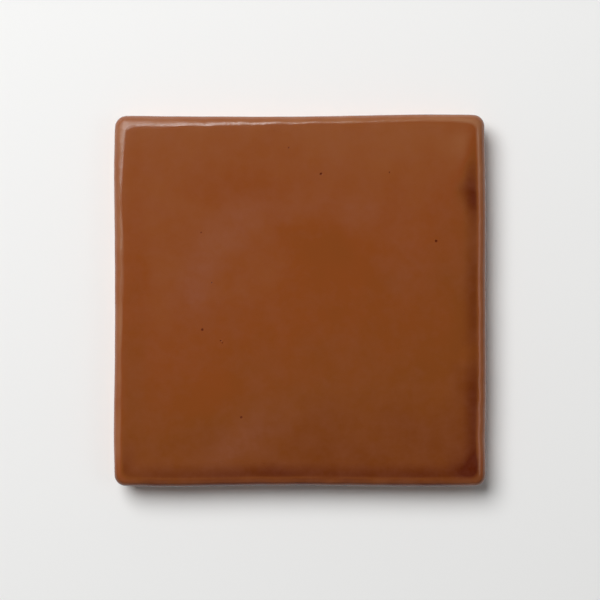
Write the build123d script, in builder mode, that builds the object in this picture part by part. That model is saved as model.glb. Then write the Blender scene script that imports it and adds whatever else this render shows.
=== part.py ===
"""Handmade glazed ceramic wall tile, 100 x 100 x 10 mm, lying face up.

One fired piece: a hand-pressed clay slab whose sides wander a little, whose corners and
face edges are soft, and whose back is keyed with shallow moulded grooves for the adhesive.
Origin at the middle of the back, +Z up through the glazed face, millimetres.
"""

import os

from build123d import *

# Overall size
tile_side = 100.0  # across the furthest points of opposite sides
tile_thickness = 10.0  # from the bed face to the middle of the glazed face

# Face edge: a tight roll at the rim, inside it a wide shallow cushion
edge_roll = 2.3  # radius between the side and the face
cushion_width = 6.2  # how far in from the sides the face starts to fall
cushion_drop = 0.44  # how far it has fallen at the sides
cushion_softening = 0.35  # growth of the corner radius for each millimetre inwards

# Sides stand upright under the rim, then lean in, so that two tiles meet at their faces
upright_band = 3.1  # height of the upright part, rim roll included
side_lean = 0.5  # how far the foot of each side is set in
foot_arris = 0.5  # worn edge round the bed face

# Hand-cut outline. Sides are in the order right, top, left, bottom, each read anticlockwise.
# A bow is how far a side lies inside the true square: at its start, at each station, at its end.
bow_stations = (-0.80, -0.48, -0.16, 0.16, 0.48, 0.80)  # places along a side, its half length being 1
side_bows = (
    (0.17, 0.24, 0.02, 0.10, 0.12, 0.10, 0.32, 0.44),
    (0.08, 0.02, 0.14, 0.46, 0.60, 0.52, 0.40, 0.34),
    (0.22, 0.10, 0.14, 0.30, 0.32, 0.16, 0.06, 0.20),
    (0.26, 0.08, 0.18, 0.42, 0.36, 0.14, 0.15, 0.20),
)
corner_radii = (3.2, 3.4, 3.1, 2.8)  # top right, top left, bottom left, bottom right

# Keyed back
groove_pitch = 15.0
groove_width = 5.0  # at the bed face
groove_depth = 1.2
groove_draft = 25.0  # degrees that the groove walls lean out
groove_border = 9.0  # least plain margin between the grooves and the sides

cushion_sections = 4
wall_share = 0.9  # most of a neighbouring wall that the rim roll may take up

half_side = tile_side / 2
side_count = len(side_bows)
rim_height = tile_thickness - cushion_drop
belt_height = rim_height - upright_band
rim_roll = min(edge_roll, wall_share * min(upright_band, cushion_width, *corner_radii))


def hand_cut_outline(height, inset):
    """The tile's wandering outline as a flat sketch at a height, set in from the sides all round."""
    reach = half_side - inset
    radii = [radius + cushion_softening * inset for radius in corner_radii]
    with BuildSketch(Plane.XY.offset(height)) as outline:
        with BuildLine():
            for side, bows in enumerate(side_bows):
                turn = 360 / side_count * side
                bow_before = side_bows[side - 1][-1]
                bow_after = side_bows[(side + 1) % side_count][0]
                start = (reach - bows[0], bow_before + radii[side - 1] - reach)
                end = (reach - bows[-1], reach - bow_after - radii[side])
                middle = [(reach - bow, reach * place) for place, bow in zip(bow_stations, bows[1:-1])]
                points = [Vector(*point).rotate(Axis.Z, turn) for point in (start, *middle, end)]
                along = Vector(0, 1).rotate(Axis.Z, turn)
                Spline(*points, tangents=(along, along))
                corner = Vector(end[0] - radii[side], end[1]).rotate(Axis.Z, turn)
                CenterArc(corner, radii[side], turn, 360 / side_count)
        make_face()
    return outline.sketch


def cushion_height(inset):
    """Height of the face at a distance in from the sides: a shallow parabola up to the flat."""
    return tile_thickness - cushion_drop * (1 - inset / cushion_width) ** 2


with BuildPart() as tile:
    # Slab, from the set-in foot past the belt up to the rim
    foot_outline = hand_cut_outline(0, side_lean)
    belt_outline = hand_cut_outline(belt_height, 0)
    rim_outline = hand_cut_outline(rim_height, 0)
    loft([foot_outline, belt_outline, rim_outline], ruled=True)

    # Cushion, from the rim up to the flat of the face
    insets = [cushion_width * n / (cushion_sections - 1) for n in range(cushion_sections)]
    loft([hand_cut_outline(cushion_height(inset), inset) for inset in insets])

    # Soft rim round the face, worn arris round the bed
    fillet(tile.edges().filter_by(lambda edge: abs(edge.center().Z - rim_height) < 0.01), rim_roll)
    chamfer(tile.faces().sort_by(Axis.Z)[0].edges(), foot_arris)

    # Keying grooves moulded in the back
    groove_length = tile_side - 2 * groove_border
    groove_count = int((groove_length - groove_width) / groove_pitch) + 1
    with BuildSketch(Plane.XY):
        with GridLocations(groove_pitch, 0, groove_count, 1):
            SlotOverall(groove_length, groove_width, rotation=90)
    extrude(amount=groove_depth, taper=groove_draft, mode=Mode.SUBTRACT)

tile.part.label = "tile"
os.makedirs("parts", exist_ok=True)
export_step(tile.part, "parts/tile.step")
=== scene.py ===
"""Handmade glazed ceramic wall tile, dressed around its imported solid.

The tile is modelled as it is made: a pressed clay slab with a grooved back, and a glaze
poured over its face that runs part of the way down its sides and ends there in a soft bead.
Everything is in metres, in the frame of the solid: +Z up through the glazed face.
"""

import math

import bmesh
import bpy
from bpy.props import FloatProperty, FloatVectorProperty, IntProperty, PointerProperty, StringProperty
from bpy.types import Operator, Panel, PropertyGroup
from mathutils import Matrix, Vector, noise
from mathutils.bvhtree import BVHTree


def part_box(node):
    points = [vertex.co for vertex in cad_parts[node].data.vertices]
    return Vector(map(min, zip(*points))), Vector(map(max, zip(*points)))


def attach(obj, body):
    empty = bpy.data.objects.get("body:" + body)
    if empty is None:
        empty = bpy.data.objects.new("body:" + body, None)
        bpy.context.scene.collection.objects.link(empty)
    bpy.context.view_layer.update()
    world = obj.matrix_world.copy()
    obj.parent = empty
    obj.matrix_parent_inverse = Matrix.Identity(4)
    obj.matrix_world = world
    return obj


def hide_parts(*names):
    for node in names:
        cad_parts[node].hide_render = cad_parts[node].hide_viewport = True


bl_info = {
    "name": "Handmade glazed tile",
    "version": (1, 0, 0),
    "blender": (4, 5, 0),
    "location": "3D View > Sidebar > Tile",
    "description": "Models and dresses one handmade glazed ceramic wall tile",
    "category": "Object",
}

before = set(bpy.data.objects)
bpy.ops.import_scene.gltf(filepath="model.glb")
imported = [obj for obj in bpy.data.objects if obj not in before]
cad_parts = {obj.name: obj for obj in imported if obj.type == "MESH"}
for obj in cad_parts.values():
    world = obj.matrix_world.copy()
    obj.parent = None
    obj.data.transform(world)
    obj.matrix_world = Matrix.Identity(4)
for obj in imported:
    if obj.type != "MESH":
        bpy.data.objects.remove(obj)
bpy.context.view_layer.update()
solid_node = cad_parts["tile"]
low_corner, high_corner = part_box("tile")

MM = 0.001
SIDES = 4
TILE_HEIGHT = high_corner.z - low_corner.z
HALF_SIDE = max(high_corner.x, high_corner.y, -low_corner.x, -low_corner.y)
SEED_STEP = (7.31, 3.17, 5.93)  # how far apart in the noise two seeds lie

# Pinholes in the glaze: place across and up the face, width and depth, in millimetres
PINHOLES = (
    (5.6, 33.9, 0.58, 0.15),
    (36.4, 15.9, 0.64, 0.15),
    (-26.1, -7.8, 0.62, 0.15),
    (-15.7, -31.2, 0.54, 0.12),
    (-21.2, -10.7, 0.32, 0.06),
    (-20.8, -11.3, 0.24, 0.05),
    (-3.0, 40.9, 0.32, 0.05),
    (-26.4, 18.2, 0.36, 0.05),
    (-23.6, 4.8, 0.30, 0.06),
    (23.9, 34.3, 0.30, 0.06),
)

# Soft patches in the glaze: place across and up the face, half length and half width in
# millimetres, turn in degrees, and what each adds to the glaze's depth and to its painted reflection.
# The added depth is partly the glaze's own and partly painted shade: the dark patches along the
# right and bottom edges and over the lower face stand in for shade away from the softbox.
# The second amount paints a pale reflected haze into the glaze colour.
PATCHES = (
    (46.0, 29.6, 5.4, 2.9, 90, 0.27, 0.0),
    (44.6, 43.5, 9.0, 4.4, 90, -0.11, 0.0),
    (45.5, -24.0, 8.0, 3.6, 90, 0.06, 0.0),
    (46.0, -13.8, 3.0, 4.0, 90, -0.10, 0.0),
    (44.9, -44.4, 4.0, 3.6, 0, 0.34, 0.0),
    (44.0, 0.0, 26.0, 4.0, 90, 0.06, 0.0),
    (-45.0, -6.0, 40.0, 4.0, 90, 0.06, 0.0),
    (1.0, -46.4, 18.0, 2.4, 0, 0.08, 0.0),
    (-48.6, -44.0, 6.5, 3.5, 90, 0.16, 0.0),
    (-32.0, 36.0, 26.0, 18.0, 0, 0.05, 0.0),
    (-10.0, 32.0, 16.0, 7.0, 0, 0.04, 0.0),
    (31.0, 41.0, 22.0, 9.0, 0, -0.05, -0.15),
    (5.0, -40.0, 60.0, 16.0, 0, 0.08, 0.0),
    (-27.9, 0.5, 6.0, 4.5, 80, 0.0, 0.48),
    (-26.0, 10.7, 8.0, 5.0, 60, 0.0, 0.48),
    (-17.7, 19.3, 8.0, 4.5, 35, 0.0, 0.44),
    (-9.0, 24.1, 9.0, 4.0, 5, 0.0, 0.28),
    (9.0, 24.3, 10.0, 3.6, 0, 0.0, 0.28),
    (16.5, 22.0, 6.0, 4.0, 40, 0.0, 0.18),
    (29.0, 9.5, 9.0, 6.5, 90, 0.0, 0.26),
    (-11.5, -33.5, 10.0, 5.0, 32, 0.0, 0.32),
    (-19.5, -41.0, 9.0, 3.5, 25, 0.0, 0.36),
    (8.5, 13.0, 11.0, 8.0, -30, 0.04, -0.30),
    (-23.5, -24.0, 11.0, 5.0, 40, -0.03, -0.28),
    (14.0, 0.0, 20.0, 16.0, 0, 0.0, -0.14),
    (40.0, -12.0, 16.0, 10.0, 60, 0.0, -0.20),
)

# Raggedness of those patches, across and up the face, in layers of millimetres, size and seed
PATCH_WARPS = (
    ((1.8, 9, 31), (1.0, 3.5, 33)),
    ((1.8, 9, 32), (1.0, 3.5, 34)),
)

# Unevenness of the poured face, in layers of amount, size in millimetres and seed
FACE_LUMPS = ((0.55, 38, 1), (0.30, 17, 2), (0.10, 7, 3), (0.035, 3, 4))


# Kinds of setting that the panel shows


def length(name, description, default):
    """A length in metres."""
    return FloatProperty(name=name, description=description, default=default, unit="LENGTH")


def rotation(name, description, degrees):
    """An angle, kept in radians."""
    return FloatProperty(name=name, description=description, default=math.radians(degrees), unit="ROTATION")


def tint(name, description, default):
    """A colour as an sRGB hex value."""
    return StringProperty(name=name, description=description, default=default)


def by_side(name, description, default, unit="NONE"):
    """A value for each side of the tile."""
    description += ": right, top, left, bottom"
    return FloatVectorProperty(name=name, description=description, size=SIDES, default=default, unit=unit)


class TileSizes(PropertyGroup):
    """Sizes of the slab. Sides, foot and grooves are the solid's, rim and cushion differ by side."""

    face_cells: IntProperty(name="Face cells", description="Mesh cells along one side", default=160)
    corner_radius: length("Corner radius", "Mean radius of the outline's corners", 3.1 * MM)
    corner_softening: FloatProperty(
        name="Corner softening",
        description="Growth of the corner radius for each metre inwards, below 0 where it shrinks",
        default=-0.35,
    )
    rim_rolls: by_side(
        "Rim rolls",
        "Radius between the sides and the face",
        (2.5 * MM, 2.4 * MM, 2.1 * MM, 2.0 * MM),
        "LENGTH",
    )
    worn_corner: FloatProperty(
        name="Worn corner", description="How much softer the rim is at the upper left", default=0.24
    )
    cushion_widths: by_side(
        "Cushion widths",
        "How far in from the sides the face starts to fall",
        (7.0 * MM, 4.2 * MM, 4.2 * MM, 6.8 * MM),
        "LENGTH",
    )
    cushion_drops: by_side(
        "Cushion drops",
        "How far the face has fallen at the sides",
        (0.58 * MM, 0.34 * MM, 0.34 * MM, 0.52 * MM),
        "LENGTH",
    )
    belt_height: length("Belt height", "Where the lean of the sides ends", 6.46 * MM)
    upright_band: length("Upright band", "Upright part of the sides, roll included", 3.1 * MM)
    side_lean: length("Side lean", "How far the foot is set in from the rim", 0.5 * MM)
    side_waver: length("Side waver", "Depth of the hand-dressed waves in the sides", 0.3 * MM)
    foot_arris: length("Foot arris", "Worn edge round the back", 0.5 * MM)
    groove_pitch: length("Groove pitch", "Distance between keying grooves", 15 * MM)
    groove_width: length("Groove width", "Width of a groove at the back", 5 * MM)
    groove_depth: length("Groove depth", "Depth of a groove", 1.2 * MM)
    groove_draft: rotation("Groove draft", "Lean of the groove walls", 25)
    groove_border: length("Groove border", "Least plain margin round the grooves", 9 * MM)


class GlazeSettings(PropertyGroup):
    """Relief and colours of the glaze."""

    film: length("Film", "Thickness of the glaze at its lower edge", 0.14 * MM)
    # Along the right and bottom, this extra depth is partly pooled glaze and partly painted shade on the
    # slopes facing away from the softbox
    pools_and_shade: by_side("Pools", "Extra depth of the glaze inside the rim", (0.21, 0.0, 0.0, 0.15))
    # On the bottom, the value below 0 makes the glaze thick and dark over the rim that faces away from the
    # softbox: painted shade. Elsewhere the paler thin band is the glaze's own.
    thinness: by_side(
        "Thinness", "How thin the glaze is drawn over the rim, thick below 0", (0.13, 0.20, 0.24, -0.20)
    )
    thin_corner: FloatProperty(
        name="Thin corner", description="How much thinner the glaze is at the upper right", default=0.09
    )
    # Painted shade: deeper, darker glaze round the outside of the bottom rim, which faces away from the
    # softbox
    rim_shades: by_side("Hangs", "Extra depth of the glaze round the outside of the rim", (0.0, 0.0, 0.0, 0.32))
    band_widths: by_side(
        "Band widths",
        "Width of the thin band over the rim",
        (2.7 * MM, 2.4 * MM, 2.4 * MM, 2.4 * MM),
        "LENGTH",
    )
    # Painted shade: the face's glaze is made deeper, so darker, towards the lower right, away from the
    # softbox, and thinner, so paler, towards the upper left
    lower_right_shade: FloatProperty(
        name="Downhill", description="How much deeper the glaze is at the lower right", default=0.2
    )
    line_height: length("Line height", "Mean height of the glaze's lower edge", 4.4 * MM)
    swell: length("Swell", "Broad unevenness of the face", 0.07 * MM)
    roughness: FloatProperty(name="Roughness", description="Roughness of the full glaze", default=0.09)
    thin_roughness: FloatProperty(
        name="Thin roughness", description="Roughness where the glaze is drawn thin", default=0.42
    )
    body_colour: tint("Body", "Glaze over most of the face", "#84431B")
    # Thin glaze over the rim; its greyish tone stands partly for the rim's sheen, a painted reflection in
    # part
    thin_and_sheen_colour: tint("Thin", "Glaze drawn thin over the rim", "#9C6C4A")
    full_colour: tint("Full", "Glaze a little deeper", "#7D421A")
    deep_colour: tint("Deep", "Glaze pooled thick", "#541C07")
    burnt_colour: tint("Burnt", "Inside of the pinholes", "#5A2006")
    # Painted reflection: the pale haze that the gloss shows, put into the glaze colour
    reflection_colour: tint("Milk", "Cloudy patches in the glaze", "#8C5643")


class ClaySettings(PropertyGroup):
    """Relief and colours of the bare clay."""

    relief: length("Relief", "Depth of the clay's unevenness", 0.09 * MM)
    roughness: FloatProperty(name="Roughness", description="Dull fired clay", default=0.9)
    body_colour: tint("Body", "Fired red earthenware", "#B17453")
    pale_colour: tint("Pale", "Pale scum on the clay", "#C9946C")
    dark_colour: tint("Dark", "Harder fired, darker clay", "#A05F3E")
    grog_colour: tint("Grog", "Pale grains of crushed pot", "#DAB594")


class StageSettings(PropertyGroup):
    """Light, floor and camera."""

    key_power: FloatProperty(name="Key power", description="Softbox power", default=16.1, unit="POWER")
    key_size: FloatVectorProperty(
        name="Key size", description="Softbox width and length", size=2, default=(0.86, 0.86), unit="LENGTH"
    )
    key_distance: length("Key distance", "Softbox's distance from the tile", 1.2)
    key_turn: rotation("Key turn", "Softbox's direction from +X", 128)
    key_tilt: rotation("Key tilt", "Softbox's angle from +Z", 34.5)
    fill_power: FloatProperty(name="Fill power", description="Fill card power", default=0.24, unit="POWER")
    fill_size: FloatVectorProperty(
        name="Fill size",
        description="Fill card width and length",
        size=2,
        default=(0.38, 0.26),
        unit="LENGTH",
    )
    fill_distance: length("Fill distance", "Fill card's distance from the tile", 0.8)
    fill_turn: rotation("Fill turn", "Fill card's direction from +X", -3)
    fill_tilt: rotation("Fill tilt", "Fill card's angle from +Z", 36)
    horizon: FloatProperty(name="Horizon", description="Brightness of the room low down", default=0.45)
    surround: FloatProperty(name="Surround", description="Brightness of the room around", default=0.15)
    ceiling: FloatProperty(name="Ceiling", description="Brightness of the dark ceiling", default=0.02)
    floor_colour: tint("Floor", "White table", "#ECECEB")
    floor_radius: length("Floor radius", "Half the table", 1.5)
    lit_radius: length("Lit radius", "How far out the table shows its own shading", 0.118)
    even_radius: length("Even radius", "Where the table starts to look even", 0.28)
    lens: FloatProperty(name="Lens", description="Focal length in millimetres", default=120)
    camera_height: length("Camera height", "Camera above the table", 0.5445)
    camera_shift: length("Camera shift", "Camera off the tile's middle, along +Y", 0.15 * MM)


def linear(hex_colour):
    """Linear colour, with full alpha, from an sRGB hex value."""
    channels = [int(hex_colour[i : i + 2], 16) / 255 for i in (1, 3, 5)]
    return (*(c / 12.92 if c <= 0.04045 else ((c + 0.055) / 1.055) ** 2.4 for c in channels), 1.0)


def grey(value):
    """A grey of that linear brightness, with full alpha."""
    return (value, value, value, 1.0)


def smooth_step(low, high, value):
    """0 at low, 1 at high, an even S between them. High may be the lower number."""
    share = min(max((value - low) / (high - low), 0.0), 1.0)
    return share * share * (3 - 2 * share)


def mixed(a, b, share):
    """The value that lies a share of the way from a to b."""
    return a + (b - a) * share


def uneven(point, size, seed):
    """Noise from about -1 to 1 whose lumps are about one size across, different for each seed."""
    return noise.noise(Vector(point) / size + Vector([seed * step for step in SEED_STEP]))


def layered(point, layers):
    """Noises added up, each given by its amount, the size of its lumps in millimetres and its seed."""
    return sum(amount * uneven(point, size * MM, seed) for amount, size, seed in layers)


# The net that the tile is folded from, and the outline it is folded to


def net_place(u, v):
    """Ring, side and place along the side, from -1 to 1, of a point of the flat square net."""
    ring = max(abs(u), abs(v))
    if ring == 0:
        return 0.0, 0, 0.0
    if u == ring:
        return ring, 0, v / ring
    if v == ring:
        return ring, 1, -u / ring
    if -u == ring:
        return ring, 2, -v / ring
    return ring, 3, u / ring


def turned(point, side):
    """A plane point turned anticlockwise by as many quarter turns as its side's number."""
    for _ in range(side):
        point = Vector((-point.y, point.x))
    return point


def rounded_square(side, place, half, radius):
    """Point and outward direction on a rounded square, by the length of its outline."""
    straight = half - radius
    run = place * (straight + math.pi / 4 * radius)
    if abs(run) <= straight:
        point, outward = Vector((half, run)), Vector((1.0, 0.0))
    else:
        angle = (abs(run) - straight) / radius
        outward = Vector((math.cos(angle), math.copysign(math.sin(angle), run)))
        point = Vector((straight, math.copysign(straight, run))) + outward * radius
    return turned(point, side), turned(outward, side)


class Outline:
    """The solid's hand-cut outline, read off its mesh where its sides stand upright."""

    reach = 5 * MM  # how far outside the wall its measuring ray starts
    fade = 22 * MM  # how far in the bows of the sides still show in the net
    softened = 6.5 * MM  # how far in the corner radius keeps changing
    averaged = 2  # how many places on each side a measured bow is averaged over
    measured_share = 0.15  # how far up the upright band the wall is measured

    def __init__(self, sizes):
        self.sizes = sizes
        self.count = SIDES * sizes.face_cells
        height = sizes.belt_height + sizes.upright_band * self.measured_share
        solid = bmesh.new()
        solid.from_mesh(solid_node.data)
        walls = BVHTree.FromBMesh(solid)
        solid.free()
        measured = [self.measure(walls, height, *self.split(n)) for n in range(self.count)]
        window = range(-self.averaged, self.averaged + 1)
        self.bows = [
            sum(measured[(number + step) % self.count] for step in window) / len(window)
            for number in range(self.count)
        ]

    def split(self, number):
        """Side and place along it of a numbered point of the outline."""
        side, step = divmod(number, self.sizes.face_cells)
        return side, 2 * step / self.sizes.face_cells - 1

    def number(self, side, place):
        """The number, with its fraction, of a place of a side."""
        return (side + (place + 1) / 2) * self.sizes.face_cells

    def measure(self, walls, height, side, place):
        """How far the solid's wall lies inside the true rounded square."""
        point, outward = rounded_square(side, place, HALF_SIDE, self.sizes.corner_radius)
        start = Vector((*(point + outward * self.reach), height))
        distance = walls.ray_cast(start, Vector((*-outward, 0)))[3]
        if distance is None:
            raise RuntimeError("the solid has no wall where its outline is measured")
        return distance - self.reach

    def bow(self, side, place):
        """The measured bow at a place of a side."""
        number = self.number(side, place)
        before = self.bows[math.floor(number) % self.count]
        after = self.bows[math.ceil(number) % self.count]
        return mixed(before, after, number - math.floor(number))

    def point(self, side, place, inset):
        """The plane point that far in from the outline."""
        sizes = self.sizes
        grown = sizes.corner_radius + sizes.corner_softening * min(inset, self.softened)
        inner = max(inset - self.softened, 0) / (HALF_SIDE - self.softened)
        point, outward = rounded_square(side, place, HALF_SIDE - inset, grown * (1 - inner))
        return point - outward * self.bow(side, place) * (1 - smooth_step(0, self.fade, inset))


class Section:
    """The tile's section at one place of its outline, as rings from the rim down to the back."""

    border_inset = 3.8 * MM  # where the rings start, outside the net of the face
    shoulder_rings = 4
    roll_rings = 9
    wall_rings = 8
    bead_rings = 4
    clay_rings = 9
    arris_rings = 3
    glazed_rings = shoulder_rings + roll_rings + wall_rings + bead_rings
    rings = glazed_rings + clay_rings + arris_rings

    # Unevenness along the outline, in layers of amount, size in millimetres and seed
    cushion_wander = ((0.22, 24, 13), (0.10, 7, 18))
    rim_dents = ((0.10, 16, 11), (0.10, 5, 12), (0.08, 2.4, 39))
    side_waves = ((0.35, 9, 37), (0.15, 3.5, 38))
    thin_wander = ((0.45, 9, 19), (0.3, 3, 35))
    pool_and_shade_wander = ((0.5, 12, 20),)
    rim_shade_wander = ((0.5, 7, 40),)
    film_wander = ((0.25, 9, 17),)
    line_wander = ((1.2 * MM, 34, 14), (0.6 * MM, 11, 15), (0.35 * MM, 3.2, 36))
    run_wander = ((4.5 * MM, 9, 16),)

    # Places at which a change starts and is full: along a side, and towards a corner of the tile
    shared_from = (0.80, 1.0)
    worn_from = (0.45, 1)
    thin_corner_from = (0.55, 0.9)
    starved_from = (0.6, 0.95)

    # Insets, and heights below the roll, at which a change starts and is full
    crest_from = (0.1 * MM, 1.5 * MM)
    pooled_from = (7.0 * MM, 3.2 * MM)
    pooled_to = (1.9 * MM, 2.9 * MM)
    rim_shade_from = (1.2 * MM, 0.5 * MM)
    waves_settle = 1.5 * MM
    film_settles = 1.0 * MM

    # Depth of the glaze, 1 where it is pooled thick
    plain_depth = 0.5
    edge_depth = 0.82
    lip_depth = 0.34

    # Thin band over the rim
    crest_thin = 0.45  # how thin the glaze is at the outermost line, 1 being the band's own
    band_full = 0.75  # share of its width over which the band keeps its own thinness
    least_starved = 0.25  # share of its grit that the band has away from the upper left corner

    # Lower edge of the glaze
    wall_spacing = 0.8  # below 1, the rings of the wall lie closer towards the edge
    edge_depth_from = (0.15, 1)  # shares of the way down the wall at which its depth starts and is full
    edge_taper = 0.35  # share of the film that is missing above the edge
    run_least = 1.08 * MM  # what is taken off each run, so that most places have none
    line_limits = (1.3 * MM, 6.2 * MM)  # lowest and highest place of the edge
    edge_reach = 1.6 * MM  # how far above and below itself the edge has an effect
    bead_height = 1.6  # in thicknesses of the film, as is the next
    bead_thickness = 1.35

    def __init__(self, sizes, glaze, corner, side, place):
        at = Vector((*corner, 0))
        self.sizes = sizes
        self.corner = corner
        neighbour = (side + (1 if place > 0 else -1)) % SIDES
        shared = smooth_step(*self.shared_from, abs(place)) / 2

        def here(four):
            return mixed(four[side], four[neighbour], shared)

        def wandering(value, layers):
            return value * (1 + layered(at, layers))

        upper_left = max(corner.y - corner.x, 0) / (2 * HALF_SIDE)
        upper_right = max(corner.y + corner.x, 0) / (2 * HALF_SIDE)
        worn = 1 + sizes.worn_corner * smooth_step(*self.worn_from, upper_left)
        thin_corner = glaze.thin_corner * smooth_step(*self.thin_corner_from, upper_right)
        self.roll = wandering(here(sizes.rim_rolls) * worn, self.rim_dents)
        self.width = wandering(here(sizes.cushion_widths), self.cushion_wander)
        self.drop = wandering(here(sizes.cushion_drops), self.cushion_wander)
        self.band = wandering(here(glaze.band_widths) * worn, self.cushion_wander)
        self.thinness = wandering(here(glaze.thinness) + thin_corner, self.thin_wander)
        self.starved = mixed(self.least_starved, 1, smooth_step(*self.starved_from, upper_left))
        self.pool_and_shade = wandering(here(glaze.pools_and_shade), self.pool_and_shade_wander)
        self.rim_shade = wandering(here(glaze.rim_shades), self.rim_shade_wander)
        self.film = wandering(glaze.film, self.film_wander)
        run = max(layered(at, self.run_wander) - self.run_least, 0)
        line = glaze.line_height + layered(at, self.line_wander) - run
        lowest, highest = self.line_limits
        self.line = min(max(line, lowest), highest)
        self.tilt = math.atan(2 * self.drop / self.width * (1 - self.roll / self.width))
        self.touch = self.roll * (1 - math.sin(self.tilt))
        self.roll_height = TILE_HEIGHT - self.fall(self.touch) - self.roll * math.cos(self.tilt)
        self.points = [
            *self.shoulder_points(),
            *self.roll_points(),
            *self.wall_points(),
            *self.bead_points(),
            *self.clay_points(),
        ]

    def fall(self, inset):
        """How far the face lies below its flat at a distance in from the sides."""
        return self.drop * max(1 - inset / self.width, 0) ** 2

    def thin(self, inset):
        """How much the glaze is drawn thin over the rim, from 0 to 1."""
        crest = mixed(self.crest_thin, 1, smooth_step(*self.crest_from, inset))
        return crest * smooth_step(self.band, self.band_full * self.band, inset)

    def depth(self, inset):
        """Depth of the glaze near the sides. Inside the rim along the right and bottom it is deeper, partly
        pooled glaze and partly painted shade. Over the rim it is thin, except on the bottom, where it is
        made thick as painted shade, as it is round the outside of the bottom rim.
        """
        # Partly painted shade: the deeper, darker band inside the right and bottom rims
        pooled = self.pool_and_shade * smooth_step(*self.pooled_from, inset) * smooth_step(*self.pooled_to, inset)
        # Painted shade round the outside of the rim, set only on the bottom
        rim_shaded = self.rim_shade * smooth_step(*self.rim_shade_from, inset)
        return self.plain_depth + pooled - self.thinness * self.thin(inset) + rim_shaded

    def below_roll(self, height, reach):
        """How fully a height lies below the roll, from 0 at the roll to 1 that far below it."""
        return smooth_step(self.roll_height, self.roll_height - reach, height)

    def lean(self, height):
        """How far the side lies inside the outline at a height: its lean and its hand-dressed waves."""
        sizes = self.sizes
        waves = 0.5 + layered((*self.corner, height), self.side_waves)
        settled = self.below_roll(height, self.waves_settle)
        set_in = sizes.side_lean * max(1 - height / sizes.belt_height, 0)
        return set_in + sizes.side_waver * waves * settled

    def shoulder_points(self):
        """Inset, height and glaze depth of each ring from the face's border to the rim."""
        for step in range(1, self.shoulder_rings + 1):
            inset = mixed(self.border_inset, self.touch, step / self.shoulder_rings)
            yield inset, TILE_HEIGHT - self.fall(inset), self.depth(inset)

    def roll_points(self):
        """Round the rim."""
        for step in range(1, self.roll_rings + 1):
            angle = mixed(self.tilt, math.pi / 2, step / self.roll_rings)
            inset = self.roll * (1 - math.sin(angle))
            yield inset, self.roll_height + self.roll * math.cos(angle), self.depth(inset)

    def wall_points(self):
        """The glazed part of the side, which thickens towards its lower edge."""
        bead_top = self.line + self.bead_height * self.film
        for step in range(1, self.wall_rings + 1):
            share = step / self.wall_rings
            height = mixed(self.roll_height, bead_top, share**self.wall_spacing)
            above = smooth_step(bead_top, bead_top + self.edge_reach, height)
            thinned = self.edge_taper * self.film * above
            depth = mixed(self.depth(0), self.edge_depth, smooth_step(*self.edge_depth_from, share))
            yield self.lean(height) + thinned * self.below_roll(height, self.film_settles), height, depth

    def bead_points(self):
        """The rounded lower edge of the glaze."""
        for step in range(1, self.bead_rings + 1):
            angle = math.pi / 2 * step / self.bead_rings
            height = self.line + self.bead_height * self.film * (1 - math.sin(angle))
            inset = self.lean(height) + self.clay_inset() * (1 - math.cos(angle))
            yield inset, height, mixed(self.lip_depth, 1, math.cos(angle))

    def clay_inset(self):
        """How far the bare clay lies behind the glaze."""
        return self.bead_thickness * self.film

    def clay_points(self):
        """The bare side, flashed darker next to the glaze, and the worn edge of the foot."""
        arris = self.sizes.foot_arris
        for step in range(1, self.clay_rings + 1):
            height = mixed(self.line, arris, step / self.clay_rings)
            flashed = smooth_step(self.edge_reach, 0, self.line - height)
            yield self.lean(height) + self.clay_inset(), height, flashed
        for step in range(1, self.arris_rings + 1):
            angle = math.pi / 2 * step / self.arris_rings
            height = arris * (1 - math.sin(angle))
            yield self.lean(height) + self.clay_inset() + arris * (1 - math.cos(angle)), height, 0.0


def patches_at(point):
    """What the soft patches add to the glaze's depth, partly painted shade, and to its painted reflection
    at a place of the face.
    """
    warp = Vector([layered(point, layers) for layers in PATCH_WARPS])
    place = Vector(point[:2]) / MM + warp
    depth = 0.0
    reflection_haze = 0.0
    for across, up, half_length, half_width, turn, deeper, more_reflection in PATCHES:
        away = Matrix.Rotation(math.radians(-turn), 2) @ (place - Vector((across, up)))
        share = math.exp(-((away.x / half_length) ** 2) - (away.y / half_width) ** 2)
        depth += deeper * share
        reflection_haze += more_reflection * share
    return depth, reflection_haze


def vertices_among(items):
    """The vertices among the results of a bmesh operator."""
    return [item for item in items if isinstance(item, bmesh.types.BMVert)]


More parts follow.
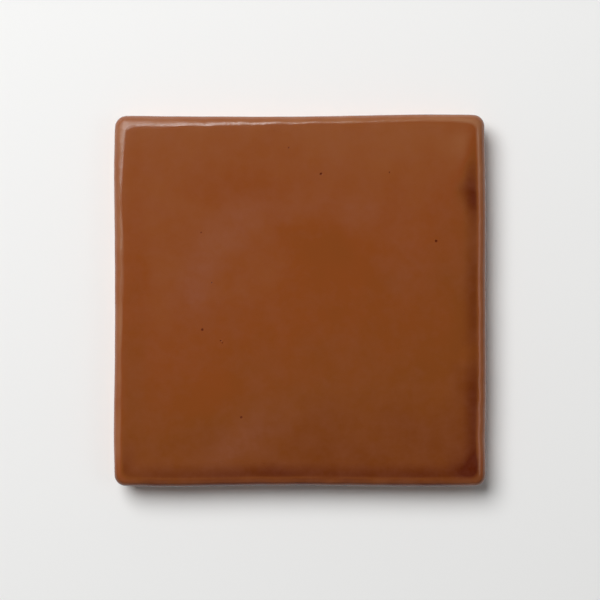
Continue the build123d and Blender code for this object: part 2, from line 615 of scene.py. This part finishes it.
def fold_front(shell, outline, sections, glaze):
    """Folds the flat net to the tile's face, rim, sides and foot."""
    patches_from = (1.0 * MM, 3.2 * MM)  # insets at which the face's patches start and are full
    thin_from = (0.5 * TILE_HEIGHT, 0.9 * TILE_HEIGHT)  # heights at which the thin band does
    swell_from = (0.4 * TILE_HEIGHT, 0.9 * TILE_HEIGHT)  # heights at which the face's swell does
    fall_right = 0.5  # how much the painted shade deepens to the right, against 1 towards the bottom
    fall_middle = 0.04  # how much of that depth the middle of the face has
    ring_layer = shell.verts.layers.int["ring"]
    depth_layer = shell.verts.layers.float["glaze_depth"]
    reflection_layer = shell.verts.layers.float["reflection_haze"]
    thin_layer = shell.verts.layers.float["thin"]
    for vertex in shell.verts:
        ring, side, place = net_place(vertex.co.x, vertex.co.y)
        number = outline.number(side, place)
        section = sections[round(number) % outline.count]
        vertex[ring_layer] = max(round(ring - 1), 0)
        if ring <= 1:
            inset = HALF_SIDE - ring * (HALF_SIDE - Section.border_inset)
            before = sections[math.floor(number) % outline.count]
            after = sections[math.ceil(number) % outline.count]
            share = number - math.floor(number)
            height = TILE_HEIGHT - mixed(before.fall(inset), after.fall(inset), share)
            depth = mixed(before.depth(inset), after.depth(inset), share)
        else:
            inset, height, depth = section.points[vertex[ring_layer] - 1]
        point = outline.point(side, place, inset)
        at = (*point, 0)
        patch, vertex[reflection_layer] = patches_at(at)
        # Painted shade: darker towards the lower right and paler towards the upper left, following the fall
        # of the softbox's light
        lower_right_shade = glaze.lower_right_shade * (fall_middle + (fall_right * point.x - point.y) / (2 * HALF_SIDE))
        vertex[depth_layer] = depth + (patch + lower_right_shade) * smooth_step(*patches_from, inset)
        vertex[thin_layer] = section.thin(inset) * section.starved * smooth_step(*thin_from, height)
        sunk = glaze.swell * (1 - layered(at, FACE_LUMPS))
        vertex.co = (*point, height - sunk * smooth_step(*swell_from, height))


def fold_back(shell, vertices, outline, sections):
    """Folds the second net to the back, whose border meets the last ring of the foot."""
    ring_layer = shell.verts.layers.int["ring"]
    for vertex in vertices:
        ring, side, place = net_place(vertex.co.x, vertex.co.y)
        section = sections[round(outline.number(side, place)) % outline.count]
        inset = HALF_SIDE - ring * (HALF_SIDE - section.points[-1][0])
        vertex.co = (*outline.point(side, place, inset), 0)
        vertex[ring_layer] = Section.rings + 1


def fold_tile(sizes, glaze, clay):
    """The whole tile as one closed mesh, without its grooves and pinholes."""
    outline = Outline(sizes)
    places = [outline.split(number) for number in range(outline.count)]
    sections = [Section(sizes, glaze, outline.point(*place, 0), *place) for place in places]
    shell = bmesh.new()
    shell.verts.layers.int.new("ring")
    for layer in ("glaze_depth", "reflection_haze", "thin"):
        shell.verts.layers.float.new(layer)
    bmesh.ops.create_grid(shell, x_segments=sizes.face_cells, y_segments=sizes.face_cells, size=1)
    diagonals = [
        vertex for vertex in shell.verts if math.isclose(abs(vertex.co.x), abs(vertex.co.y), abs_tol=1e-4)
    ]
    bmesh.ops.connect_verts(shell, verts=diagonals)
    for ring in range(1, Section.rings + 1):
        border = [edge for edge in shell.edges if edge.is_boundary]
        grown = bmesh.ops.extrude_edge_only(shell, edges=border)
        wider = (ring + 1) / ring
        bmesh.ops.scale(shell, verts=vertices_among(grown["geom"]), vec=(wider, wider, 1))
    fold_front(shell, outline, sections, glaze)
    back = bmesh.ops.create_grid(shell, x_segments=sizes.face_cells, y_segments=sizes.face_cells, size=1)
    fold_back(shell, back["verts"], outline, sections)
    open_edge = [vertex for vertex in shell.verts if vertex.is_boundary]
    bmesh.ops.remove_doubles(shell, verts=open_edge, dist=0.01 * MM)
    bmesh.ops.recalc_face_normals(shell, faces=shell.faces)
    roughen_clay(shell, clay)
    ring_layer = shell.verts.layers.int["ring"]
    for face in shell.faces:
        face.smooth = True
        face.material_index = int(max(vertex[ring_layer] for vertex in face.verts) > Section.glazed_rings)
    return shell


def roughen_clay(shell, clay):
    """Lumps, drag marks, pits and knocks in the bare clay, all of them into the body."""
    lump_size = 4 * MM
    lump_share = 0.4  # of the relief, as are the next two
    drag_share = 0.35
    pit_share = 0.8
    drag_size = 2.2 * MM
    drag_stretch = 3.5  # how much longer than high the drag marks are
    pit_size = 1.5 * MM
    pit_rarity = 0.3  # noise above which there is a pit
    pit_steepness = 1.6
    knock_size = 5 * MM
    knock_rarity = 0.42  # noise above which there is a knock
    knock_depth = 1.5 * MM
    knock_from = (1.2 * MM, 0.2 * MM)  # heights at which the knocks start and are full
    ring_layer = shell.verts.layers.int["ring"]
    shell.normal_update()
    moves = []
    for vertex in shell.verts:
        ring = vertex[ring_layer]
        if ring <= Section.glazed_rings:
            continue
        at = vertex.co
        lumps = 0.5 + 0.5 * uneven(at, lump_size, 21)
        drag = 0.5 + 0.5 * uneven((at.x, at.y, at.z * drag_stretch), drag_size, 22)
        pit = pit_steepness * max(uneven(at, pit_size, 23) - pit_rarity, 0)
        below_glaze = smooth_step(Section.glazed_rings, Section.glazed_rings + 2, ring)
        relief = clay.relief * (lump_share * lumps + drag_share * drag + pit_share * pit)
        depth = relief * below_glaze
        if ring <= Section.rings:
            knock = knock_depth * max(uneven(at, knock_size, 24) - knock_rarity, 0)
            depth += knock * smooth_step(*knock_from, at.z)
        moves.append((vertex, vertex.normal * -depth))
    for vertex, move in moves:
        vertex.co += move
        vertex.co.z = max(vertex.co.z, 0)


def pierce_pinholes(shell):
    """Small craters where gas has come through the glaze, each in its own patch of finer mesh."""
    finer_within = (2.6, 1.6, 1.1)  # reach of each halving of the mesh, in widths of the pinhole
    bowl_from = (0.9, 0.2)  # shares of its radius at which the bowl starts and is full
    burnt_from = (1.2, 0.8)  # and at which the burnt glaze does
    burnt_depth = 2
    depth_layer = shell.verts.layers.float["glaze_depth"]
    for across, up, width, depth in PINHOLES:
        centre = Vector((across, up)) * MM
        for widths in finer_within:
            near = [
                edge
                for edge in shell.edges
                if edge.verts[0].co.z > 0.9 * TILE_HEIGHT
                and ((edge.verts[0].co + edge.verts[1].co).xy / 2 - centre).length < widths * width * MM
            ]
            refined = bmesh.ops.subdivide_edges(shell, edges=near, cuts=1, use_grid_fill=True)["geom"]
        touched = set(vertices_among(refined))
        touched.update(vertex for edge in near for vertex in edge.verts)
        for vertex in touched:
            away = (vertex.co.xy - centre).length / (width * MM / 2)
            vertex.co.z -= depth * MM * smooth_step(*bowl_from, away)
            burnt = smooth_step(*burnt_from, away)
            vertex[depth_layer] = mixed(vertex[depth_layer], burnt_depth, burnt)


def groove_cutter(sizes):
    """All keying grooves as solids to cut with: slots with leaning walls and softened edges."""
    half_length = HALF_SIDE - sizes.groove_border
    count = int((2 * half_length - sizes.groove_width) / sizes.groove_pitch) + 1
    segments = 28
    softening = 0.25 * MM
    overrun = 1 * MM  # how far below the back the cutting starts
    wall = sizes.groove_depth - 2 * softening
    steps = ((softening, softening), (wall * math.tan(sizes.groove_draft), wall), (softening, softening))
    cutter = bmesh.new()
    for number in range(count):
        ends = bmesh.ops.create_circle(
            cutter, cap_ends=True, segments=segments, radius=sizes.groove_width / 2 + softening
        )["verts"]
        half_turn = Matrix.Rotation(math.pi / segments, 3, "Z")
        bmesh.ops.rotate(cutter, cent=(0, 0, 0), matrix=half_turn, verts=ends)
        for vertex in ends:
            vertex.co.y += math.copysign(half_length - sizes.groove_width / 2, vertex.co.y)
        mouth = ends[0].link_faces[0]
        across = (number - (count - 1) / 2) * sizes.groove_pitch
        bmesh.ops.translate(cutter, verts=ends, vec=(across, 0, -overrun))
        raised = bmesh.ops.extrude_face_region(cutter, geom=[mouth])["geom"]
        bmesh.ops.translate(cutter, verts=vertices_among(raised), vec=(0, 0, overrun))
        top = next(item for item in raised if isinstance(item, bmesh.types.BMFace))
        top.normal_update()
        for thickness, depth in steps:
            bmesh.ops.inset_region(
                cutter, faces=[top], thickness=thickness, depth=depth * top.normal.z, use_even_offset=True
            )
    bmesh.ops.recalc_face_normals(cutter, faces=cutter.faces)
    return cutter


def new_object(name, shape, materials):
    """An object in the scene from a bmesh, which is used up."""
    mesh = bpy.data.meshes.new(name)
    shape.to_mesh(mesh)
    shape.free()
    for material in materials:
        mesh.materials.append(material)
    made = bpy.data.objects.new(name, mesh)
    bpy.context.scene.collection.objects.link(made)
    return made


def cut_grooves(tile, sizes):
    """Cuts the keying grooves into the back, and gives their walls the clay and crisp edges."""
    clay_index = 1
    crease = math.radians(35)
    groove_top = sizes.groove_depth + 0.1 * MM
    groove_reach = HALF_SIDE - 2 * MM
    grooves = new_object("grooves", groove_cutter(sizes), [])
    cut = tile.modifiers.new("grooves", "BOOLEAN")
    cut.operation = "DIFFERENCE"
    cut.solver = "EXACT"
    cut.object = grooves
    graph = bpy.context.evaluated_depsgraph_get()
    whole = tile.data
    tile.data = bpy.data.meshes.new_from_object(tile.evaluated_get(graph), depsgraph=graph)
    tile.modifiers.clear()
    bpy.data.meshes.remove(whole)
    bpy.data.objects.remove(grooves)
    tile.data.name = tile.name
    finished = bmesh.new()
    finished.from_mesh(tile.data)
    for face in finished.faces:
        face.smooth = True
        if max(vertex.co.z for vertex in face.verts) < groove_top:
            centre = face.calc_center_median()
            if max(abs(centre.x), abs(centre.y)) < groove_reach:
                face.material_index = clay_index
    for edge in finished.edges:
        edge.smooth = edge.calc_face_angle(0) < crease
    finished.to_mesh(tile.data)
    finished.free()


# Materials


def add_node(tree, kind, inputs=None, stops=None, **settings):
    """Adds a node. An input is a value, a socket that feeds it, or a node whose first output does."""
    node = tree.nodes.new(kind)
    for name, value in settings.items():
        setattr(node, name, value)
    for key, value in (inputs or {}).items():
        if isinstance(value, bpy.types.Node):
            value = value.outputs[0]
        if isinstance(value, bpy.types.NodeSocket):
            tree.links.new(value, node.inputs[key])
        else:
            node.inputs[key].default_value = value
    for number, (position, colour) in enumerate(stops or ()):
        elements = node.color_ramp.elements
        # A ramp comes with two stops, which the first two given here take over
        element = elements[number] if number < 2 else elements.new(position)
        element.position = position
        element.color = colour
    return node


def new_material(name):
    """An empty material and its node tree."""
    material = bpy.data.materials.new(name)
    material.use_nodes = True
    material.node_tree.nodes.clear()
    return material, material.node_tree


def glaze_material(glaze):
    """Transparent iron glaze, poured and fired to a gloss: amber where thin, chestnut where it is deep,
    with painted shade darkening it along the right and bottom rims and towards the lower right, and a pale
    painted reflection mixed in.
    """
    mottle_size = 11 * MM
    mottle_range = 0.12  # of the glaze's depth
    wisp_size = 4 * MM
    curdle_size = 1.8 * MM
    most_reflection = 0.42
    peel_size = 1.6 * MM
    peel_height = 0.012 * MM
    grit_size = 1.1 * MM
    grit_height = 0.14 * MM
    material, tree = new_material("iron_glaze")
    place = add_node(tree, "ShaderNodeTexCoord").outputs["Object"]

    # Colour by the glaze's depth, the ramp running over depths from 0 to 2
    depth = add_node(tree, "ShaderNodeAttribute", attribute_name="glaze_depth").outputs["Fac"]
    mottle = add_node(
        tree,
        "ShaderNodeTexNoise",
        {"Vector": place, "Scale": 1 / mottle_size, "Detail": 3.0, "Roughness": 0.55},
    )
    mottled = add_node(
        tree,
        "ShaderNodeMath",
        {0: mottle, 1: mottle_range, 2: -mottle_range / 2},
        operation="MULTIPLY_ADD",
    )
    shade = add_node(tree, "ShaderNodeMath", {0: depth, 1: mottled}, operation="ADD")
    halved = add_node(tree, "ShaderNodeMath", {0: shade, 1: 0.5}, operation="MULTIPLY")
    colour = add_node(
        tree,
        "ShaderNodeValToRGB",
        {"Fac": halved},
        stops=(
            (0.0, linear(glaze.thin_and_sheen_colour)),
            (1.0, linear(glaze.burnt_colour)),
            (0.25, linear(glaze.body_colour)),
            (0.30, linear(glaze.full_colour)),
            (0.5, linear(glaze.deep_colour)),
        ),
    )

    # Painted reflection: a pale haze, broken into wisps and curdled, mixed into the glaze colour
    reflection_haze = add_node(tree, "ShaderNodeAttribute", attribute_name="reflection_haze").outputs["Fac"]
    wisps = add_node(
        tree,
        "ShaderNodeTexNoise",
        {"Vector": place, "Scale": 1 / wisp_size, "Detail": 5.0, "Roughness": 0.6},
    )
    broken = add_node(tree, "ShaderNodeMath", {0: wisps, 1: 1.0, 2: -0.30}, operation="MULTIPLY_ADD")
    curdle = add_node(
        tree,
        "ShaderNodeTexNoise",
        {"Vector": place, "Scale": 1 / curdle_size, "Detail": 3.0, "Roughness": 0.6},
    )
    curdled = add_node(
        tree,
        "ShaderNodeMapRange",
        {"Value": curdle, "From Min": 0.35, "From Max": 0.65, "To Min": 0.75, "To Max": 1.25},
    )
    reflection_amount = add_node(
        tree, "ShaderNodeMath", {0: reflection_haze, 1: curdled, 2: broken}, operation="MULTIPLY_ADD", use_clamp=True
    )
    reflection_share = add_node(tree, "ShaderNodeMath", {0: reflection_amount, 1: most_reflection}, operation="MULTIPLY")
    reflected = add_node(
        tree, "ShaderNodeMix", {"Factor": reflection_share, 6: colour, 7: linear(glaze.reflection_colour)}, data_type="RGBA"
    ).outputs[2]

    # Orange peel all over, grit from the clay where the glaze is drawn thin
    skin = add_node(tree, "ShaderNodeTexNoise", {"Vector": place, "Scale": 1 / peel_size, "Detail": 2.0})
    orange_peel = add_node(
        tree, "ShaderNodeBump", {"Height": skin, "Strength": 1.0, "Distance": peel_height}
    )
    thin = add_node(tree, "ShaderNodeAttribute", attribute_name="thin").outputs["Fac"]
    grit = add_node(
        tree,
        "ShaderNodeTexNoise",
        {"Vector": place, "Scale": 1 / grit_size, "Detail": 3.0, "Roughness": 0.6},
    )
    level = add_node(tree, "ShaderNodeMath", {0: grit, 1: 0.5}, operation="SUBTRACT")
    starved = add_node(tree, "ShaderNodeMath", {0: level, 1: thin}, operation="MULTIPLY")
    relief = add_node(
        tree,
        "ShaderNodeBump",
        {"Height": starved, "Strength": 1.0, "Distance": grit_height, "Normal": orange_peel},
    )

    # Duller where it is thin, without any shine where it is burnt
    gloss = add_node(
        tree,
        "ShaderNodeMapRange",
        {"Value": thin, "To Min": glaze.roughness, "To Max": glaze.thin_roughness},
    )
    shine = add_node(
        tree, "ShaderNodeMapRange", {"Value": depth, "From Min": 1.5, "From Max": 1.0, "To Max": 0.5}
    )
    look = {"Base Color": reflected, "Roughness": gloss, "IOR": 1.5, "Specular IOR Level": shine}
    shader = add_node(tree, "ShaderNodeBsdfPrincipled", {**look, "Normal": relief})
    add_node(tree, "ShaderNodeOutputMaterial", {"Surface": shader})
    return material


def clay_material(clay):
    """Red earthenware, pressed and fired once bare: dull, grainy, with fine grog and pale scum."""
    blotch_size = 4 * MM
    grog_spacing = 0.9 * MM
    grit_size = 0.35 * MM
    grit_height = 0.08 * MM
    material, tree = new_material("red_earthenware")
    place = add_node(tree, "ShaderNodeTexCoord").outputs["Object"]
    body = add_node(
        tree,
        "ShaderNodeTexNoise",
        {"Vector": place, "Scale": 1 / blotch_size, "Detail": 6.0, "Roughness": 0.65},
    )
    colour = add_node(
        tree,
        "ShaderNodeValToRGB",
        {"Fac": body},
        stops=(
            (0.30, linear(clay.dark_colour)),
            (0.74, linear(clay.pale_colour)),
            (0.50, linear(clay.body_colour)),
        ),
    )
    halo = add_node(tree, "ShaderNodeAttribute", attribute_name="glaze_depth").outputs["Fac"]
    flashed = add_node(
        tree, "ShaderNodeMix", {"Factor": halo, 6: colour, 7: linear(clay.dark_colour)}, data_type="RGBA"
    ).outputs[2]
    grog = add_node(tree, "ShaderNodeTexVoronoi", {"Vector": place, "Scale": 1 / grog_spacing}).outputs
    crumb = add_node(
        tree, "ShaderNodeMapRange", {"Value": grog["Distance"], "From Min": 0.32, "From Max": 0.14}
    )
    picked = add_node(
        tree,
        "ShaderNodeMapRange",
        {"Value": grog["Color"], "From Min": 0.62, "From Max": 0.72, "To Max": 0.5},
    )
    shown = add_node(tree, "ShaderNodeMath", {0: crumb, 1: picked}, operation="MULTIPLY")
    grained = add_node(
        tree, "ShaderNodeMix", {"Factor": shown, 6: flashed, 7: linear(clay.grog_colour)}, data_type="RGBA"
    ).outputs[2]
    grit = add_node(tree, "ShaderNodeTexNoise", {"Vector": place, "Scale": 1 / grit_size, "Detail": 3.0})
    relief = add_node(tree, "ShaderNodeBump", {"Height": grit, "Strength": 1.0, "Distance": grit_height})
    shader = add_node(
        tree,
        "ShaderNodeBsdfPrincipled",
        {"Base Color": grained, "Roughness": clay.roughness, "IOR": 1.5, "Normal": relief},
    )
    add_node(tree, "ShaderNodeOutputMaterial", {"Surface": shader})
    return material


def floor_material(stage):
    """White matt table. Far from the tile, the camera sees it at one even brightness."""
    material, tree = new_material("white_table")
    place = add_node(tree, "ShaderNodeTexCoord").outputs["Object"]
    away = add_node(tree, "ShaderNodeVectorMath", {0: place}, operation="LENGTH").outputs["Value"]
    far = add_node(
        tree,
        "ShaderNodeMapRange",
        {"Value": away, "From Min": stage.lit_radius, "From Max": stage.even_radius},
        interpolation_type="SMOOTHSTEP",
    )
    seen = add_node(tree, "ShaderNodeLightPath").outputs["Is Camera Ray"]
    share = add_node(tree, "ShaderNodeMath", {0: far, 1: seen}, operation="MULTIPLY")
    matt = add_node(tree, "ShaderNodeBsdfDiffuse", {"Color": linear(stage.floor_colour)})
    even = add_node(tree, "ShaderNodeEmission", {"Color": linear(stage.floor_colour), "Strength": 1.0})
    both = add_node(tree, "ShaderNodeMixShader", {0: share, 1: matt, 2: even})
    add_node(tree, "ShaderNodeOutputMaterial", {"Surface": both})
    return material


# Stage


def room(stage):
    """A dim room with a dark ceiling for the light, a pale one for the camera."""
    wall_from = 0.35  # from level at 0 to straight up at 1, as are the next two
    wall_to = 0.86
    ceiling_from = 0.97
    world = bpy.data.worlds.new("room")
    bpy.context.scene.world = world
    world.use_nodes = True
    tree = world.node_tree
    tree.nodes.clear()
    rays = add_node(tree, "ShaderNodeLightPath").outputs
    looking = add_node(tree, "ShaderNodeTexCoord").outputs["Generated"]
    upward = add_node(tree, "ShaderNodeSeparateXYZ", {"Vector": looking}).outputs["Z"]
    strength = add_node(
        tree,
        "ShaderNodeValToRGB",
        {"Fac": upward},
        stops=(
            (0.0, grey(stage.horizon)),
            (1.0, grey(stage.ceiling)),
            (wall_from, grey(stage.surround)),
            (wall_to, grey(stage.surround)),
            (ceiling_from, grey(stage.ceiling)),
        ),
    )
    dim = add_node(tree, "ShaderNodeBackground", {"Color": (1, 1, 1, 1), "Strength": strength})
    pale = add_node(tree, "ShaderNodeBackground", {"Color": linear(stage.floor_colour), "Strength": 1.0})
    shown = add_node(tree, "ShaderNodeMixShader", {0: rays["Is Camera Ray"], 1: dim, 2: pale})
    add_node(tree, "ShaderNodeOutputWorld", {"Surface": shown})


def lamp(name, power, size, distance, turn, tilt):
    """An oval area lamp that looks at the tile, placed by its turn from +X and tilt from +Z."""
    data = bpy.data.lights.new(name, "AREA")
    data.shape = "ELLIPSE"
    data.size, data.size_y = size
    data.energy = power
    light = bpy.data.objects.new(name, data)
    direction = Vector((math.cos(turn) * math.sin(tilt), math.sin(turn) * math.sin(tilt), math.cos(tilt)))
    facing = direction.to_track_quat("Z", "Y").to_matrix().to_4x4()
    light.matrix_world = Matrix.Translation(direction * distance) @ facing
    bpy.context.scene.collection.objects.link(light)


class TILE_OT_tile(Operator):
    """Models the glazed tile and gives it its materials"""

    bl_idname = "tile.tile"
    bl_label = "Glazed tile"

    def execute(self, context):
        sizes = context.scene.tile_sizes
        glaze = context.scene.tile_glaze
        clay = context.scene.tile_clay
        shell = fold_tile(sizes, glaze, clay)
        pierce_pinholes(shell)
        tile = new_object("glazed_tile", shell, [glaze_material(glaze), clay_material(clay)])
        cut_grooves(tile, sizes)
        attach(tile, "root")
        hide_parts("tile")
        return {"FINISHED"}


class TILE_OT_stage(Operator):
    """Sets the table, the lamps, the room and the camera"""

    bl_idname = "tile.stage"
    bl_label = "Stage"

    def execute(self, context):
        stage = context.scene.tile_stage
        segments = 96
        table = bmesh.new()
        bmesh.ops.create_circle(table, cap_ends=True, segments=segments, radius=stage.floor_radius)
        new_object("table", table, [floor_material(stage)])
        room(stage)
        lamp("softbox", stage.key_power, stage.key_size, stage.key_distance, stage.key_turn, stage.key_tilt)
        lamp(
            "fill_card",
            stage.fill_power,
            stage.fill_size,
            stage.fill_distance,
            stage.fill_turn,
            stage.fill_tilt,
        )
        camera_data = bpy.data.cameras.new("camera")
        camera_data.lens = stage.lens
        camera_data.clip_start = 0.01
        camera = bpy.data.objects.new("camera", camera_data)
        camera.location = (0, stage.camera_shift, stage.camera_height)
        context.scene.collection.objects.link(camera)
        context.scene.camera = camera
        context.scene.view_settings.view_transform = "Standard"
        return {"FINISHED"}


class TILE_PT_panel(Panel):
    """Lists the tile's operators and sizes"""

    bl_idname = "TILE_PT_panel"
    bl_label = "Glazed tile"
    bl_space_type = "VIEW_3D"
    bl_region_type = "UI"
    bl_category = "Tile"

    def draw(self, context):
        for operator in OPERATORS:
            self.layout.operator(operator.bl_idname)
        for name in GROUPS:
            group = getattr(context.scene, name)
            for setting in group.__annotations__:
                self.layout.prop(group, setting)


OPERATORS = (TILE_OT_tile, TILE_OT_stage)
GROUPS = {
    "tile_sizes": TileSizes,
    "tile_glaze": GlazeSettings,
    "tile_clay": ClaySettings,
    "tile_stage": StageSettings,
}


def register():
    for group in GROUPS.values():
        bpy.utils.register_class(group)
    for name, group in GROUPS.items():
        setattr(bpy.types.Scene, name, PointerProperty(type=group))
    for shown in (*OPERATORS, TILE_PT_panel):
        bpy.utils.register_class(shown)


def unregister():
    for shown in (TILE_PT_panel, *reversed(OPERATORS)):
        bpy.utils.unregister_class(shown)
    for name in GROUPS:
        delattr(bpy.types.Scene, name)
    for group in reversed(GROUPS.values()):
        bpy.utils.unregister_class(group)


def main():
    """Builds the tile and its stage."""
    register()
    bpy.ops.tile.tile()
    bpy.ops.tile.stage()


if __name__ == "__main__":
    main()
